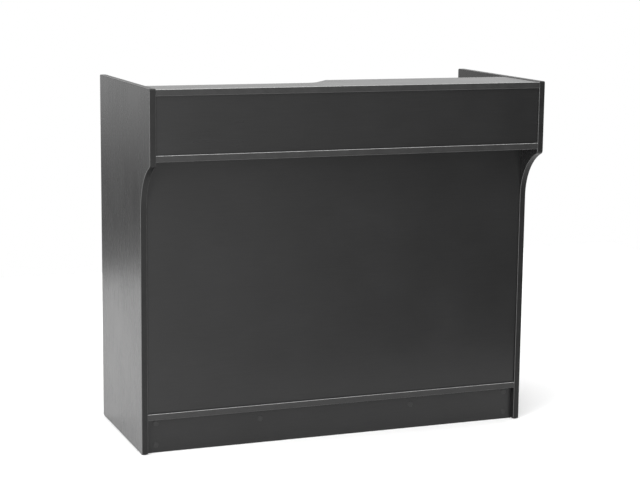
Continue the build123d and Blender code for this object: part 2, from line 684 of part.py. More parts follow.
# ---- Roller slides: a rail on each wall of the bay and a runner under each drawer side ----
SLIDE_WALLS = {"left": (BAY_LEFT, 1), "right": (BAY_RIGHT, -1)}
RAIL_FLOOR_REACH = 9.5
RAIL_ROOF_REACH = 8.0
TRACK_REACH = 3.0
FOOT_REACH = 22.0
WEB_NEAR = SLIDE_GAP - STEEL
RIVET_RADIUS = 4.0
SHOULDER_RADIUS = 3.75
RAIL_RIVET = (9.6, 10.6)  # distances from the wall
RUNNER_RIVET = (1.8, 3.0)
SHOULDER_GAP = 0.2
RUNNER_SCREW_RADIUS = 1.5
RUNNER_SCREW_LENGTH = 12.0

rail_axle_y = RAIL_HEAD - AXLE_INSET
runner_axle_y = BOX_TAIL + AXLE_INSET


def long_section(points, wall, inward, y_low, y_high):
    """Extrude a section along Y; its points are (distance from the wall, height)."""
    with BuildPart() as bar:
        with BuildSketch(Plane.XZ.offset(-y_low)):
            with BuildLine():
                Polyline([(wall + inward * reach, z) for reach, z in points], close=True)
            make_face()
        extrude(amount=y_low - y_high)
    return bar.part


rail_section = [
    (0, RAIL_FLOOR - STEEL),
    (RAIL_FLOOR_REACH, RAIL_FLOOR - STEEL),
    (RAIL_FLOOR_REACH, RAIL_FLOOR),
    (STEEL, RAIL_FLOOR),
    (STEEL, RAIL_ROOF),
    (RAIL_ROOF_REACH, RAIL_ROOF),
    (RAIL_ROOF_REACH, RAIL_ROOF + STEEL),
    (0, RAIL_ROOF + STEEL),
]
runner_section = [
    (FOOT_REACH, BOX_LOW - STEEL),
    (WEB_NEAR, BOX_LOW - STEEL),
    (WEB_NEAR, TRACK_Z),
    (TRACK_REACH, TRACK_Z),
    (TRACK_REACH, TRACK_Z + STEEL),
    (SLIDE_GAP, TRACK_Z + STEEL),
    (SLIDE_GAP, BOX_LOW),
    (FOOT_REACH, BOX_LOW),
]


def axle_plane(wall, inward, y, z):
    """A plane on the wall of the bay, its Z pointing into the bay along a roller's axle."""
    return Plane(origin=(wall, y, z), z_dir=(inward, 0, 0))


def runner_screw_places(wall, inward, z):
    """Where a runner's screws pass the height z; their heads point down."""
    x = wall + inward * RUNNER_SCREW_INSET
    return [Plane(origin=(x, y, z), z_dir=DOWN) for y in RUNNER_SCREW_YS]


with BuildPart() as roller:
    add(turned((ROLLER_RADIUS, ROLLER_NEAR, ROLLER_FAR)))
    fillet(roller.edges().filter_by(GeomType.CIRCLE), ARRIS / 2)
    Hole(AXLE_RADIUS + SLACK)

rail_axles = {hand: axle_plane(*wall, rail_axle_y, AXLE_Z) for hand, wall in SLIDE_WALLS.items()}
runner_axles = {hand: axle_plane(*wall, runner_axle_y, RUNNER_AXLE_Z) for hand, wall in SLIDE_WALLS.items()}

for hand, (wall, inward) in SLIDE_WALLS.items():
    with BuildPart() as slide_rail:
        add(long_section(rail_section, wall, inward, RAIL_TAIL, RAIL_HEAD))
        drill(rail_screw_places(wall, inward, STEEL), RAIL_SCREW_RADIUS + SLACK, 2 * STEEL)
        drill([rail_axles[hand].offset(STEEL)], AXLE_RADIUS + SLACK, 2 * STEEL)
    save(slide_rail, f"slide_rail_{hand}")

    with BuildPart() as drawer_runner:
        add(long_section(runner_section, wall, inward, BOX_TAIL, DRAWER_JOINT))
        drill(runner_screw_places(wall, inward, BOX_LOW - STEEL), RUNNER_SCREW_RADIUS + SLACK, 2 * STEEL)
        drill([runner_axles[hand].offset(SLIDE_GAP)], AXLE_RADIUS + SLACK, 2 * STEEL)
    save(drawer_runner, f"drawer_runner_{hand}")

    with BuildPart() as rail_roller:
        with Locations(rail_axles[hand]):
            add(roller.part)
    save(rail_roller, f"rail_roller_{hand}")

    with BuildPart() as runner_roller:
        with Locations(runner_axles[hand]):
            add(roller.part)
    save(runner_roller, f"runner_roller_{hand}")

with BuildPart() as rail_roller_pins:
    with Locations(*rail_axles.values()):
        add(
            turned(
                (AXLE_RADIUS, 0, RAIL_RIVET[0]),
                (SHOULDER_RADIUS, STEEL, ROLLER_NEAR - SHOULDER_GAP),
                (RIVET_RADIUS, *RAIL_RIVET),
            )
        )
save(rail_roller_pins, "rail_roller_pins")

with BuildPart() as runner_roller_pins:
    with Locations(*runner_axles.values()):
        add(
            turned(
                (RIVET_RADIUS, *RUNNER_RIVET),
                (AXLE_RADIUS, RUNNER_RIVET[1], SLIDE_GAP),
                (SHOULDER_RADIUS, ROLLER_FAR + SHOULDER_GAP, WEB_NEAR),
            )
        )
save(runner_roller_pins, "runner_roller_pins")

with BuildPart() as rail_screws:
    for wall, inward in SLIDE_WALLS.values():
        with Locations(*rail_screw_places(wall, inward, STEEL)):
            add(screw(RAIL_SCREW_RADIUS, RAIL_SCREW_LENGTH, head_radius=3.4, head_height=1.4))
save(rail_screws, "rail_screws")

with BuildPart() as runner_screws:
    for wall, inward in SLIDE_WALLS.values():
        with Locations(*runner_screw_places(wall, inward, BOX_LOW - STEEL)):
            add(screw(RUNNER_SCREW_RADIUS, RUNNER_SCREW_LENGTH, head_radius=3.0, head_height=1.6))
save(runner_screws, "runner_screws")

# ---- Drawer box: two sides, a box front, a back and a hardboard bottom in grooves ----
CROSS_LEFT = BOX_LEFT + BOX_BOARD
CROSS_RIGHT = BOX_RIGHT - BOX_BOARD
BOX_SCREW_RADIUS = 2.0
BOX_SCREW_LENGTH = 40.0
BOX_SCREW_HEAD = 4.0
BOX_SCREW_ZS = (782.0, 812.0)
FRONT_SCREW_XS = (BAY_MIDDLE - 180.0, BAY_MIDDLE + 180.0)
FRONT_SCREW_ZS = (774.0, 808.0)
FRONT_SCREW_RADIUS = 2.0
FRONT_SCREW_LENGTH = 26.0
PULL_SCREW_RADIUS = 2.0
PULL_SCREW_LENGTH = BOX_BOARD + BOARD + PULL_THREAD_DEPTH - 1.0

groove = (BOX_LOW + GROOVE_RISE, BOX_LOW + GROOVE_RISE + HARDBOARD + HARDBOARD_SLACK)
inner_face = DRAWER_JOINT - BOX_BOARD  # the box front's face inside the drawer
end_ys = (BOX_TAIL + BOX_BOARD / 2, DRAWER_JOINT - BOX_BOARD / 2)

box_screw_places = {
    hand: [
        Plane(origin=(wall + inward * SLIDE_GAP, y, z), z_dir=(-inward, 0, 0))
        for y in end_ys
        for z in BOX_SCREW_ZS
    ]
    for hand, (wall, inward) in SLIDE_WALLS.items()
}
front_screw_places = [
    Plane(origin=(x, inner_face, z), z_dir=TO_CUSTOMER) for x in FRONT_SCREW_XS for z in FRONT_SCREW_ZS
]
pull_screw_places = [
    Plane(origin=(BAY_MIDDLE + step, inner_face, PULL_Z), z_dir=TO_CUSTOMER)
    for step in (-PULL_PITCH / 2, PULL_PITCH / 2)
]
lock_place = Plane(origin=(BAY_MIDDLE, DRAWER_FACE, LOCK_Z), x_dir=(-1, 0, 0), z_dir=TO_CASHIER)

for hand, x_low, groove_x in (
    ("left", BOX_LEFT, CROSS_LEFT - GROOVE_DEPTH),
    ("right", CROSS_RIGHT, CROSS_RIGHT),
):
    wall, inward = SLIDE_WALLS[hand]
    with BuildPart() as drawer_side:
        add(slab((x_low, x_low + BOX_BOARD), (BOX_TAIL, DRAWER_JOINT), (BOX_LOW, BOX_TOP)))
        groove_solid = slab((groove_x, groove_x + GROOVE_DEPTH), (BOX_TAIL, DRAWER_JOINT), groove)
        add(groove_solid, mode=Mode.SUBTRACT)
        drill(runner_screw_places(wall, inward, BOX_LOW), RUNNER_SCREW_RADIUS + SLACK, RUNNER_SCREW_LENGTH)
        with Locations(*box_screw_places[hand]):
            CounterSinkHole(BOX_SCREW_RADIUS + SLACK, BOX_SCREW_HEAD + SLACK, BOX_BOARD, 90)
    save(drawer_side, f"drawer_side_{hand}")

with BuildPart() as drawer_back:
    add(slab((CROSS_LEFT, CROSS_RIGHT), (BOX_TAIL, BOX_TAIL + BOX_BOARD), (BOX_LOW, BOX_TOP)))
    groove_y = BOX_TAIL + BOX_BOARD - GROOVE_DEPTH
    groove_solid = slab((CROSS_LEFT, CROSS_RIGHT), (groove_y, groove_y + GROOVE_DEPTH), groove)
    add(groove_solid, mode=Mode.SUBTRACT)
    for places in box_screw_places.values():
        drill(places[:2], BOX_SCREW_RADIUS + SLACK, BOX_SCREW_LENGTH)
save(drawer_back, "drawer_back")

with BuildPart() as drawer_box_front:
    add(slab((CROSS_LEFT, CROSS_RIGHT), (inner_face, DRAWER_JOINT), (BOX_LOW, BOX_TOP)))
    groove_solid = slab((CROSS_LEFT, CROSS_RIGHT), (inner_face, inner_face + GROOVE_DEPTH), groove)
    add(groove_solid, mode=Mode.SUBTRACT)
    for places in box_screw_places.values():
        drill(places[2:], BOX_SCREW_RADIUS + SLACK, BOX_SCREW_LENGTH)
    drill(front_screw_places, FRONT_SCREW_RADIUS + SLACK, BOX_BOARD)
    drill(pull_screw_places, PULL_SCREW_RADIUS + SLACK, BOX_BOARD)
save(drawer_box_front, "drawer_box_front")

with BuildPart() as drawer_bottom:
    tongue = GROOVE_DEPTH - HARDBOARD_SLACK
    add(
        slab(
            (CROSS_LEFT - tongue, CROSS_RIGHT + tongue),
            (BOX_TAIL + BOX_BOARD - tongue, inner_face + tongue),
            (groove[0], groove[0] + HARDBOARD),
        )
    )
save(drawer_bottom, "drawer_bottom")

with BuildPart() as box_screws:
    for places in box_screw_places.values():
        with Locations(*places):
            add(countersunk_screw(BOX_SCREW_RADIUS, BOX_SCREW_LENGTH - SLACK, BOX_SCREW_HEAD))
save(box_screws, "box_screws")

# ---- Drawer front, banded all round ----
FACE_LEFT = BAY_LEFT + DRAWER_GAP
FACE_RIGHT = BAY_RIGHT - DRAWER_GAP


def front_board(inset):
    """The drawer front's slab, its four edges set back by inset."""
    return slab(
        (FACE_LEFT + inset, FACE_RIGHT - inset),
        (DRAWER_JOINT, DRAWER_FACE),
        (DRAWER_FRONT_LOW + inset, DRAWER_FRONT_TOP - inset),
    )


with BuildPart() as drawer_front:
    add(front_board(BAND))
    with Locations(lock_place):
        Hole(LOCK_HOLE_RADIUS)
    through = [place.offset(-BOX_BOARD) for place in front_screw_places]
    drill(through, FRONT_SCREW_RADIUS + SLACK, FRONT_SCREW_LENGTH - BOX_BOARD)
    with Locations(*[place.offset(-BOX_BOARD) for place in pull_screw_places]):
        Hole(PULL_SCREW_RADIUS + SLACK, BOARD)
save(drawer_front, "drawer_front")

with BuildPart() as drawer_front_edge_band:
    add(front_board(0))
    fillet(drawer_front_edge_band.faces().sort_by(Axis.Y)[-1].edges(), ARRIS)
    add(front_board(BAND), mode=Mode.SUBTRACT)
save(drawer_front_edge_band, "drawer_front_edge_band")

with BuildPart() as front_screws:
    with Locations(*front_screw_places):
        add(screw(FRONT_SCREW_RADIUS, FRONT_SCREW_LENGTH - SLACK, head_radius=4.0, head_height=2.2))
save(front_screws, "front_screws")

# ---- Pull: a bent bar on two feet ----
with BuildPart() as drawer_pull:
    left_x = BAY_MIDDLE - PULL_PITCH / 2
    right_x = BAY_MIDDLE + PULL_PITCH / 2
    bar_y = DRAWER_FACE + PULL_REACH
    with BuildLine(Plane.XY.offset(PULL_Z)) as bar_line:
        FilletPolyline(
            (left_x, DRAWER_FACE), (left_x, bar_y), (right_x, bar_y), (right_x, DRAWER_FACE), radius=PULL_BEND
        )
    with BuildSketch(Plane(origin=bar_line.line @ 0, z_dir=bar_line.line % 0)):
        Circle(PULL_RADIUS)
    sweep(path=bar_line.line)
    foot_places = [
        Plane(origin=(x, DRAWER_FACE, PULL_Z), z_dir=TO_CASHIER) for x in (left_x, right_x)
    ]
    with Locations(*foot_places):
        Cone(PULL_FOOT_RADIUS, PULL_RADIUS, PULL_FOOT, align=RISING)
    drill([-place for place in foot_places], PULL_SCREW_RADIUS + SLACK, PULL_THREAD_DEPTH)
save(drawer_pull, "drawer_pull")

with BuildPart() as pull_screws:
    with Locations(*pull_screw_places):
        add(screw(PULL_SCREW_RADIUS, PULL_SCREW_LENGTH, head_radius=4.0, head_height=2.6))
save(pull_screws, "pull_screws")

# ---- Lock: a barrel through the drawer front, its plug turning a cam up behind the strike ----
NUT_FLATS = 23.0
NUT_THICKNESS = 4.0
PLUG_RUNNING_GAP = 0.3
KEYWAY = (1.4, 8.0, 6.0)
SQUARE_SLACK = 0.1
CAM_SCREW_RADIUS = 1.5
CAM_SCREW_LENGTH = 9.0
CAM_SCREW_HEAD_RADIUS = 4.5
CAM_SCREW_HEAD = 2.2

keyway_wide, keyway_tall, keyway_deep = KEYWAY
plug_tail = -BARREL_LENGTH - PLUG_RUNNING_GAP  # heights along the lock's axis, from the drawer face
cam_front = -BARREL_LENGTH - CAM_TAIL_GAP
cam_back = cam_front - LOCK_CAM_THICKNESS
plug_face = FLANGE_THICKNESS - 0.5

with BuildPart() as housing_blank:
    add(turned((BARREL_RADIUS, -BARREL_LENGTH, 0), (FLANGE_RADIUS, 0, FLANGE_THICKNESS)))
    fillet(housing_blank.edges().group_by(Axis.Z)[-1], ARRIS)
    head_seat = plug_face - PLUG_HEAD - PLUG_RUNNING_GAP
    with Locations((0, 0, FLANGE_THICKNESS)):
        CounterBoreHole(PLUG_RADIUS + SLACK, PLUG_HEAD_RADIUS + SLACK, FLANGE_THICKNESS - head_seat)

with BuildPart() as plug_blank:
    plug_neck = plug_face - PLUG_HEAD
    add(turned((PLUG_RADIUS, plug_tail, plug_neck), (PLUG_HEAD_RADIUS, plug_neck, plug_face)))
    with Locations((0, 0, plug_face)):
        Box(keyway_wide, keyway_tall, keyway_deep, align=SINKING, mode=Mode.SUBTRACT)
    with Locations((0, 0, plug_tail)):
        Box(LOCK_SQUARE, LOCK_SQUARE, plug_tail - cam_back, align=SINKING)
    drill([-Plane.XY.offset(cam_back)], CAM_SCREW_RADIUS + SLACK, CAM_SCREW_LENGTH)

with BuildPart() as cam_blank:
    with BuildSketch(Plane.XY.offset(cam_back)):
        with Locations(((LOCK_CAM_REACH - LOCK_CAM_WIDTH / 2) / 2, 0)):
            RectangleRounded(LOCK_CAM_REACH + LOCK_CAM_WIDTH / 2, LOCK_CAM_WIDTH, LOCK_CAM_WIDTH / 2 - ARRIS)
        Rectangle(LOCK_SQUARE + SQUARE_SLACK, LOCK_SQUARE + SQUARE_SLACK, mode=Mode.SUBTRACT)
    extrude(amount=LOCK_CAM_THICKNESS)

with BuildPart() as lock_housing:
    with Locations(lock_place):
        add(housing_blank.part)
save(lock_housing, "lock_housing")

with BuildPart() as lock_nut:
    with BuildSketch(lock_place.offset(-BOARD)):
        RegularPolygon(NUT_FLATS / 2, 6, major_radius=False)
        Circle(BARREL_RADIUS + SLACK, mode=Mode.SUBTRACT)
    extrude(amount=-NUT_THICKNESS)
save(lock_nut, "lock_nut")

with BuildPart() as lock_plug:
    with Locations(lock_place):
        add(plug_blank.part)
save(lock_plug, "lock_plug")

with BuildPart() as lock_cam:
    with Locations(lock_place):
        add(cam_blank.part)
save(lock_cam, "lock_cam")

with BuildPart() as lock_cam_screw:
    with Locations(-lock_place.offset(cam_back)):
        add(screw(CAM_SCREW_RADIUS, CAM_SCREW_LENGTH - SLACK, CAM_SCREW_HEAD_RADIUS, CAM_SCREW_HEAD))
save(lock_cam_screw, "lock_cam_screw")

with BuildPart() as lock_strike:
    strike_x = (BAY_MIDDLE - STRIKE_WIDTH / 2, BAY_MIDDLE + STRIKE_WIDTH / 2)
    strike_outer = STRIKE_Y + STRIKE_THICKNESS
    strike_plate_low = WORKTOP_LOW - STRIKE_THICKNESS
    add(slab(strike_x, (strike_outer - STRIKE_LEG, strike_outer), (strike_plate_low, WORKTOP_LOW)))
    add(slab(strike_x, (STRIKE_Y, strike_outer), (WORKTOP_LOW - STRIKE_DROP, WORKTOP_LOW)))
    drill(strike_screw_places, STRIKE_SCREW_RADIUS + SLACK, 2 * STRIKE_THICKNESS)
save(lock_strike, "lock_strike")

with BuildPart() as strike_screws:
    with Locations(*[place.offset(STRIKE_THICKNESS) for place in strike_screw_places]):
        length = STRIKE_SCREW_LENGTH + STRIKE_THICKNESS - SLACK
        add(screw(STRIKE_SCREW_RADIUS, length, head_radius=3.4, head_height=1.4))
save(strike_screws, "strike_screws")
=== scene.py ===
import json
import math

import bpy
from mathutils import Matrix, Vector


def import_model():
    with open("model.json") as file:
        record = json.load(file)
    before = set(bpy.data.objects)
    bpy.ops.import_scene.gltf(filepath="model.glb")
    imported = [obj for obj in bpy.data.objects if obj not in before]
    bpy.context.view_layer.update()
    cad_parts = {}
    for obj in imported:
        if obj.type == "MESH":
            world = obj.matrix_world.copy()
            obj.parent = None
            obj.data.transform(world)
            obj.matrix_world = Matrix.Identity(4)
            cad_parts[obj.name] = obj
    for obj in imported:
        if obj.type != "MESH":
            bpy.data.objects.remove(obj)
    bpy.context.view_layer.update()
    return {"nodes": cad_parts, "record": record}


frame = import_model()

# ---- Shader helpers ----
# The sockets of a Mix node that take and give colours, which share their names with others.
MIX_FIRST, MIX_SECOND, MIX_RESULT = 6, 7, 2


class Shader:
    """One procedural material: adds nodes to its tree and links them."""

    def __init__(self, name):
        self.material = bpy.data.materials.new(name)
        self.material.use_nodes = True
        self.tree = self.material.node_tree
        self.surface = self.tree.nodes["Principled BSDF"]
        places = self.add("ShaderNodeTexCoord").outputs
        self.coords, self.facing = places["Object"], places["Normal"]

    def add(self, kind, inputs=None, **settings):
        node = self.tree.nodes.new(kind)
        for name, value in settings.items():
            setattr(node, name, value)
        for name, value in (inputs or {}).items():
            self.put(node, name, value)
        return node

    def put(self, node, name, value):
        """Set a socket to a value, or link it if the value is another socket."""
        socket = node.inputs[name]
        if isinstance(value, bpy.types.NodeSocket):
            self.tree.links.new(value, socket)
        else:
            socket.default_value = value

    def finish(self, **values):
        """Set the Principled shader's sockets; underscores stand for spaces."""
        for name, value in values.items():
            self.put(self.surface, name.replace("_", " "), value)
        return self.material

    def noise(self, scale, detail=2.0, stretch=(1.0, 1.0, 1.0), roughness=0.5):
        """A noise pattern with the given cells per metre, stretched along the axes."""
        moved = self.add("ShaderNodeMapping", {"Vector": self.coords, "Scale": stretch})
        cells = {"Vector": moved.outputs["Vector"], "Scale": scale, "Detail": detail, "Roughness": roughness}
        return self.add("ShaderNodeTexNoise", cells).outputs["Fac"]

    def spread(self, value, low, high, from_low=0.3, from_high=0.7):
        """Map a pattern's middle range to low..high."""
        limits = {
            "Value": value,
            "From Min": from_low,
            "From Max": from_high,
            "To Min": low,
            "To Max": high,
        }
        return self.add("ShaderNodeMapRange", limits).outputs["Result"]

    def sum(self, first, second):
        return self.add("ShaderNodeMath", {0: first, 1: second}, operation="ADD").outputs[0]

    def product(self, first, second):
        return self.add("ShaderNodeMath", {0: first, 1: second}, operation="MULTIPLY").outputs[0]

    def corners(self, across):
        """1 where the surface faces half way between an axis and the others, 0 where it doesn't."""
        faces = self.add("ShaderNodeSeparateXYZ", {0: self.facing}).outputs[across]
        square = self.product(faces, faces)
        rest = self.add("ShaderNodeMath", {0: 1.0, 1: square}, operation="SUBTRACT").outputs[0]
        return self.spread(self.product(square, rest), 0.0, 1.0, 0.03, 0.2)

    def blend(self, factor, dark, light):
        """A colour between dark and light."""
        mix = self.add("ShaderNodeMix", data_type="RGBA")
        self.put(mix, "Factor", factor)
        for index, colour in ((MIX_FIRST, dark), (MIX_SECOND, light)):
            socket = mix.inputs[index]
            if isinstance(colour, bpy.types.NodeSocket):
                self.tree.links.new(colour, socket)
            else:
                socket.default_value = (*colour, 1.0)
        return mix.outputs[MIX_RESULT]

    def bump(self, height, depth, strength=1.0, under=None):
        """A bump of the given depth in metres, over an earlier bump if there is one."""
        inputs = {"Height": height, "Distance": depth, "Strength": strength}
        if under is not None:
            inputs["Normal"] = under
        return self.add("ShaderNodeBump", inputs).outputs["Normal"]


# ---- Materials ----
# The fine texture of a moulded face: cells per metre, and depth in metres.
GRIT_CELLS, GRIT_DEPTH = 800.0, 0.00003

# How a pattern is stretched along each axis to make grain.
ALONG = {
    "x": (0.03, 1.0, 1.0),
    "y": (1.0, 0.03, 1.0),
    "z": (1.0, 1.0, 0.03),
}


def laminate(name, grain, tone=0.0095, index=1.4, gloss=(0.28, 0.32), streak=0.01):
    """Black melamine face: a fine pebble, a faint grain along one axis and soft handling haze."""
    shader = Shader(name)
    grain_lines = shader.noise(420.0, 3.0, ALONG[grain], 0.6)
    streaks = shader.noise(110.0, 2.0, ALONG[grain], 0.7)
    pebble = shader.noise(1500.0, 2.0)
    haze = shader.noise(5.0, 4.0, roughness=0.55)
    tint = shader.sum(shader.spread(grain_lines, 0.0, 0.6), shader.spread(haze, 0.0, 0.4))
    colour = shader.blend(tint, (tone * 0.8,) * 3, (tone * 1.3, tone * 1.3, tone * 1.33))
    roughness = shader.sum(shader.spread(haze, *gloss), shader.spread(streaks, -streak, streak))
    relief = shader.bump(pebble, 0.00003, 0.25)
    relief = shader.bump(grain_lines, 0.000015, 0.2, relief)
    return shader.finish(Base_Color=colour, Roughness=roughness, Normal=relief, IOR=index)


def banding(name, across, tone=0.015, corner_rubbed_and_highlight=0.10, top_corner_highlight_and_rubbed=0.60, index=1.45):
    """Extruded PVC edge band: smoother than the faces, scuffed, its trimmed corners lighter, partly rubbed
    and partly a painted highlight, the upward-facing corners lighter still as a painted highlight.

    The corners are where the surface faces between the given axis and the others.
    """
    shader = Shader(name)
    scuff = shader.noise(38.0, 5.0, roughness=0.65)
    fine = shader.noise(900.0, 2.0)
    colour = shader.blend(shader.spread(scuff, 0.0, 1.0), (tone * 0.85,) * 3, (tone * 1.2,) * 3)
    nicks = shader.spread(shader.noise(160.0, 5.0, roughness=0.7), 0.6, 1.0)
    # The corner mask marks rubbed corners and, in the colour, a painted highlight.
    rubbed_and_highlight_mask = shader.product(shader.corners(across), nicks)
    upward = shader.add("ShaderNodeSeparateXYZ", {0: shader.facing}).outputs["Z"]
    # Upward-facing corners get a much lighter tone: a painted highlight.
    corner_rubbed_and_highlight_tone = shader.blend(shader.spread(upward, 0.0, 1.0, 0.2, 0.6), (corner_rubbed_and_highlight,) * 3, (top_corner_highlight_and_rubbed,) * 3)
    colour = shader.blend(rubbed_and_highlight_mask, colour, corner_rubbed_and_highlight_tone)
    gloss = shader.spread(rubbed_and_highlight_mask, 0.36, 0.24, 0.0, 1.0)
    gloss = shader.sum(gloss, shader.spread(scuff, 0.0, 0.08))
    relief = shader.bump(fine, 0.00003, 0.3)
    return shader.finish(Base_Color=colour, Roughness=gloss, Normal=relief, IOR=index)


def hardboard():
    """Tempered hardboard: brown-black, a felt-like fibre pattern."""
    shader = Shader("tempered_hardboard")
    fibre = shader.noise(260.0, 6.0, roughness=0.75)
    blotch = shader.noise(14.0, 3.0)
    tint = shader.sum(shader.spread(fibre, 0.0, 0.7), shader.spread(blotch, 0.0, 0.3))
    colour = shader.blend(tint, (0.020, 0.013, 0.009), (0.060, 0.040, 0.026))
    relief = shader.bump(fibre, 0.00012, 0.5)
    return shader.finish(Base_Color=colour, Roughness=shader.spread(fibre, 0.45, 0.62), Normal=relief)


def beech():
    """Raw beech dowel with short flecks."""
    shader = Shader("raw_beech")
    fleck = shader.noise(700.0, 4.0, (1.0, 0.25, 0.25), 0.7)
    colour = shader.blend(shader.spread(fleck, 0.0, 1.0), (0.42, 0.27, 0.15), (0.66, 0.48, 0.30))
    return shader.finish(Base_Color=colour, Roughness=0.65, Normal=shader.bump(fleck, 0.0001, 0.4))


def metal(name, dark, light, low, high, pattern_scale=300.0, stretch=(1.0, 1.0, 1.0), depth=0.00002):
    """A metal with a worn or brushed pattern in its colour and gloss."""
    shader = Shader(name)
    pattern = shader.noise(pattern_scale, 4.0, stretch, 0.6)
    colour = shader.blend(shader.spread(pattern, 0.0, 1.0), dark, light)
    relief = shader.bump(pattern, depth, 0.4)
    gloss = shader.spread(pattern, low, high)
    return shader.finish(Base_Color=colour, Metallic=1.0, Roughness=gloss, Normal=relief)


def plastic(name, dark, light, low, high):
    """Moulded plastic with a fine spark-eroded texture."""
    shader = Shader(name)
    grit = shader.noise(GRIT_CELLS, 3.0)
    smear = shader.noise(30.0, 3.0)
    colour = shader.blend(shader.spread(smear, 0.0, 1.0), dark, light)
    gloss = shader.spread(smear, low, high)
    return shader.finish(Base_Color=colour, Roughness=gloss, Normal=shader.bump(grit, GRIT_DEPTH, 0.4))


def cover_cap(face=0.013, rim=0.002):
    """Snap-in cover of a cam: a satin moulded disc with painted shade round its chamfered rim."""
    shader = Shader("cap_plastic")
    grit = shader.noise(GRIT_CELLS, 3.0)
    smear = shader.noise(30.0, 3.0)
    colour = shader.blend(shader.spread(smear, 0.0, 1.0), (face * 0.8,) * 3, (face * 1.2,) * 3)
    # The chamfered rim is painted dark: painted shade round the cap.
    colour = shader.blend(shader.corners("Y"), colour, (rim,) * 3)
    relief = shader.bump(grit, GRIT_DEPTH, 0.4)
    roughness = shader.spread(smear, 0.30, 0.42)
    return shader.finish(Base_Color=colour, Roughness=roughness, IOR=1.44, Normal=relief)


def enamel():
    """Off-white epoxy powder coat with orange peel."""
    shader = Shader("epoxy_enamel")
    peel = shader.noise(650.0, 2.0)
    grime = shader.noise(22.0, 5.0, roughness=0.7)
    colour = shader.blend(shader.spread(grime, 0.0, 1.0, 0.45, 0.75), (0.66, 0.65, 0.61), (0.50, 0.48, 0.43))
    return shader.finish(
        Base_Color=colour,
        Roughness=shader.spread(grime, 0.30, 0.45),
        Coat_Weight=0.3,
        Coat_Roughness=0.15,
        Normal=shader.bump(peel, 0.00005, 0.5),
    )


LAMINATES = {
    "x": laminate("black_laminate_x", "x"),
    "y": laminate("black_laminate_y", "y"),
    "z": laminate("black_laminate_z", "z", index=1.5, gloss=(0.24, 0.29), streak=0.022),
}
SLOT_MATERIALS = {
    # The band's corners are lightened as rubbed edges and a painted highlight, the upward-facing ones most.
    "edge_band": banding("black_edge_band", "Y"),
    "hardboard": hardboard(),
    "dowel_wood": beech(),
    "zinc": metal("die_cast_zinc", (0.47, 0.47, 0.46), (0.57, 0.57, 0.55), 0.38, 0.50, depth=0.00001),
    "screw_steel": metal(
        "zinc_plate", (0.62, 0.61, 0.57), (0.70, 0.69, 0.65), 0.27, 0.35, 700.0, depth=0.000008
    ),
    "cap_plastic": cover_cap(),
    "glide_plastic": plastic("glide_plastic", (0.008,) * 3, (0.016,) * 3, 0.45, 0.62),
    "slide_enamel": enamel(),
    "roller_nylon": plastic("roller_nylon", (0.70, 0.69, 0.64), (0.80, 0.79, 0.75), 0.32, 0.45),
    "pull_metal": metal(
        "satin_nickel", (0.50, 0.49, 0.47), (0.64, 0.63, 0.61), 0.24, 0.36, 900.0, (0.04, 1.0, 1.0)
    ),
    "lock_chrome": metal("lock_chrome", (0.70, 0.70, 0.71), (0.82, 0.82, 0.83), 0.08, 0.18, 200.0),
}

# The bands whose corners lie between X and the other axes.
# Its corners are lightened as rubbed edges and a painted highlight.
UPRIGHT_BANDING = banding("black_edge_band_upright", "X", 0.008, 0.13, 0.12, 1.33)
UPRIGHT_BANDS = ("side_edge_band_left", "side_edge_band_right", "partition_edge_band")

# The grain runs up the side panels and the partition, and along every other board.
UPRIGHT_GRAIN = ("side_panel_left", "side_panel_right", "centre_partition")
LENGTHWAYS_GRAIN = ("drawer_side_left", "drawer_side_right")


def material_for(node, slot):
    if node in UPRIGHT_BANDS:
        return UPRIGHT_BANDING
    if slot != "black_laminate":
        return SLOT_MATERIALS[slot]
    if node in UPRIGHT_GRAIN:
        return LAMINATES["z"]
    return LAMINATES["y" if node in LENGTHWAYS_GRAIN else "x"]


for part in frame["record"]["subparts"]:
    mesh = frame["nodes"][part["node"]].data
    mesh.materials.clear()
    mesh.materials.append(material_for(part["node"], part["material_slot"]))

# ---- Studio ----
FLOOR_LOW, FLOOR_HIGH = (-2.6, -0.9), (2.6, 2.6)
FLOOR_TONE = 0.92

# What a mirror would see of the room behind the object: the tone for each height of the
# line of sight, from a sine of -1, straight down, to 1, straight up.
BACK_TONES = (
    (-1.0, 1.0),
    (-0.30, 0.9),
    (-0.19, 0.50),
    (-0.155, 0.08),
    (-0.125, 0.18),
    (-0.085, 0.82),
    (-0.02, 0.95),
    (0.10, 1.20),
    (0.30, 1.05),
    (1.0, 1.05),
)
# In front the room darkens from the left of the view to the right: the tone for each cosine
# between the line of sight and the dark side.
SHADE_SIDE = (0.94, -0.34, 0.0)
FRONT_TONES = ((0.48, 2.0), (0.57, 1.5), (0.69, 0.10), (1.0, 0.03))
HALVES_BLEND = 0.3  # the front and back halves of the room mix this far each side of the middle
WHITE = (1.0, 1.0, 1.0, 1.0)

# Each light's name, place, target, size in metres and power in watts.
SOFTBOXES = (
    ("overhead_softbox", (-0.5, -0.9, 2.7), (-0.3, -0.1, 0.6), (2.4, 1.4), 20.0),
    ("left_softbox", (-2.3, -2.0, 1.0), (-0.5, -0.2, 0.5), (1.0, 1.6), 44.0),
)


